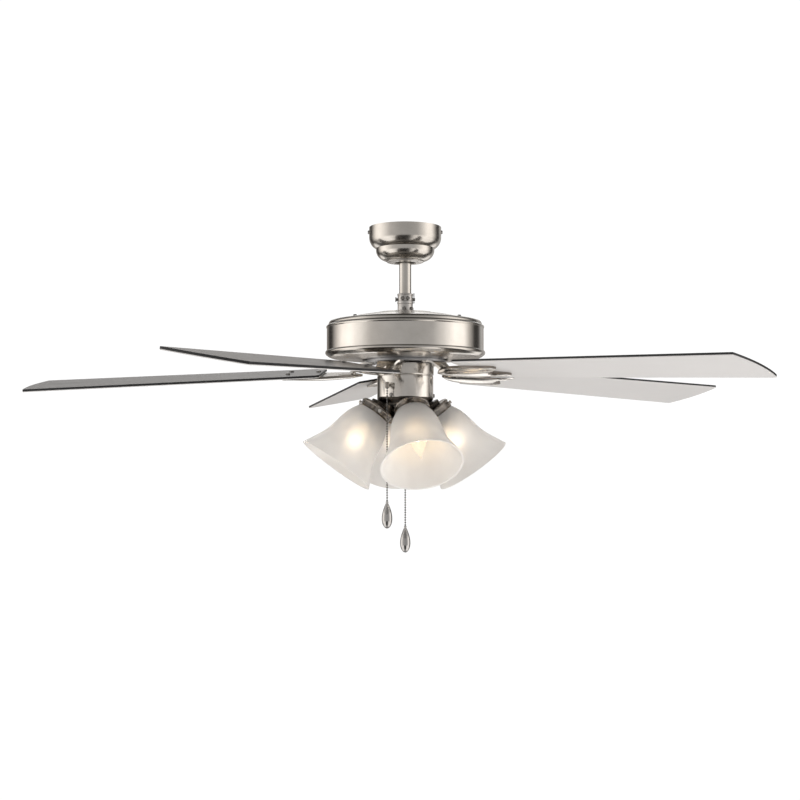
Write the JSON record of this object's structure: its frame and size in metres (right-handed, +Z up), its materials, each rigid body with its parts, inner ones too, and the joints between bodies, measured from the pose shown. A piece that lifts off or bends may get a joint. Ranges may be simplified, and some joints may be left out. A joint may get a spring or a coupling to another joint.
{
  "type": "ceiling fan with light",
  "caption": "Downrod ceiling fan with flat blades on cast irons, a drum motor housing, a light kit of bell glass shades and pull chains.",
  "frame": {"origin": "on the fan's axis in the plane of the ceiling, at the centre of the bracket's two slots", "axes": "+Z up out of the ceiling, +X along the line of the bracket's slots, -Y towards the front lamp's side"},
  "size_m": [1.2741, 1.296, 0.5663],
  "materials": {
    "zinc_steel": "zinc-plated pressed steel",
    "nickel": "satin nickel plate",
    "nickel_cast": "bright nickel on cast metal",
    "screw_steel": "dark nickel",
    "shaft_steel": "ground steel",
    "nylon": "moulded black",
    "lead_plastic": "insulated wire with wire nuts",
    "core_steel": "stacked laminations",
    "winding_copper": "enamelled copper wire",
    "motor_metal": "die-cast aluminium",
    "blade_board": "laminated board, black top and silver-grey underside",
    "socket_black": "ribbed dark sockets",
    "frosted_glass": "frosted white glass",
    "bulb_glass": "clear candle bulbs",
    "chain_nickel": "bright nickel"
  },
  "bodies": {
    "ceiling_mount": {"hanger_bracket": "zinc_steel", "canopy": "nickel", "canopy_screws": "screw_steel", "canopy_trim": "nickel_cast"},
    "fan": {"downrod": "nickel", "top_cover": "nickel", "housing_band": "nickel", "bottom_cover": "nickel", "switch_cup": "nickel", "switch_housing": "nickel", "light_fitter": "nickel", "bottom_cap": "nickel", "shade_holders": "nickel", "coupling": "nickel_cast", "cross_pins": "screw_steel", "shaft_nuts": "screw_steel", "housing_bolts": "screw_steel", "machine_screws": "screw_steel", "thumb_screws": "screw_steel", "motor_shaft": "shaft_steel", "bearing_inner_rings": "shaft_steel", "hanger_ball": "nylon", "capacitor": "nylon", "reverse_switch": "nylon", "speed_switch": "nylon", "light_switch": "nylon", "supply_leads": "lead_plastic", "stator_core": "core_steel", "stator_windings": "winding_copper", "lamp_sockets": "socket_black", "shade_1": "frosted_glass", "shade_2": "frosted_glass", "shade_3": "frosted_glass", "shade_4": "frosted_glass", "bulb_1": "bulb_glass", "bulb_2": "bulb_glass", "bulb_3": "bulb_glass", "bulb_4": "bulb_glass"},
    "rotor": {"bearing_outer_rings": "shaft_steel", "bearing_balls": "shaft_steel", "rotor_top_shell": "motor_metal", "rotor_bottom_shell": "motor_metal", "rotor_ring": "shaft_steel", "iron_screws": "screw_steel", "blade_screws": "screw_steel", "blade_iron_1": "nickel_cast", "blade_iron_2": "nickel_cast", "blade_iron_3": "nickel_cast", "blade_iron_4": "nickel_cast", "blade_iron_5": "nickel_cast", "blade_1": "blade_board", "blade_2": "blade_board", "blade_3": "blade_board", "blade_4": "blade_board", "blade_5": "blade_board"},
    "fan_pull": {"fan_chain": "chain_nickel", "fan_fob": "chain_nickel"},
    "light_pull": {"light_chain": "chain_nickel", "light_fob": "chain_nickel"},
    "reverse_knob": {"reverse_slider": "nylon"}
  },
  "joints": [
    {"name": "hanger_swing", "type": "hinge", "parent": "ceiling_mount", "child": "fan", "pos_m": [0, 0, -0.034], "axis": [1, 0, 0], "range_deg": [-10, 10]},
    {"name": "rotor_spin", "type": "hinge", "parent": "fan", "child": "rotor", "pos_m": [0, 0, -0.1975], "axis": [0, 0, 1], "continuous": true},
    {"name": "fan_pull_slide", "type": "slide", "parent": "fan", "child": "fan_pull", "axis": [0, 0, -1], "range_m": [0, 0.012], "stiffness_N_per_m": 600, "springref_m": -0.002},
    {"name": "light_pull_slide", "type": "slide", "parent": "fan", "child": "light_pull", "axis": [0, 0, -1], "range_m": [0, 0.012], "stiffness_N_per_m": 600, "springref_m": -0.002},
    {"name": "reverse_slide", "type": "slide", "parent": "fan", "child": "reverse_knob", "axis": [0, 0, 1], "range_m": [0, 0.006]}
  ]
}
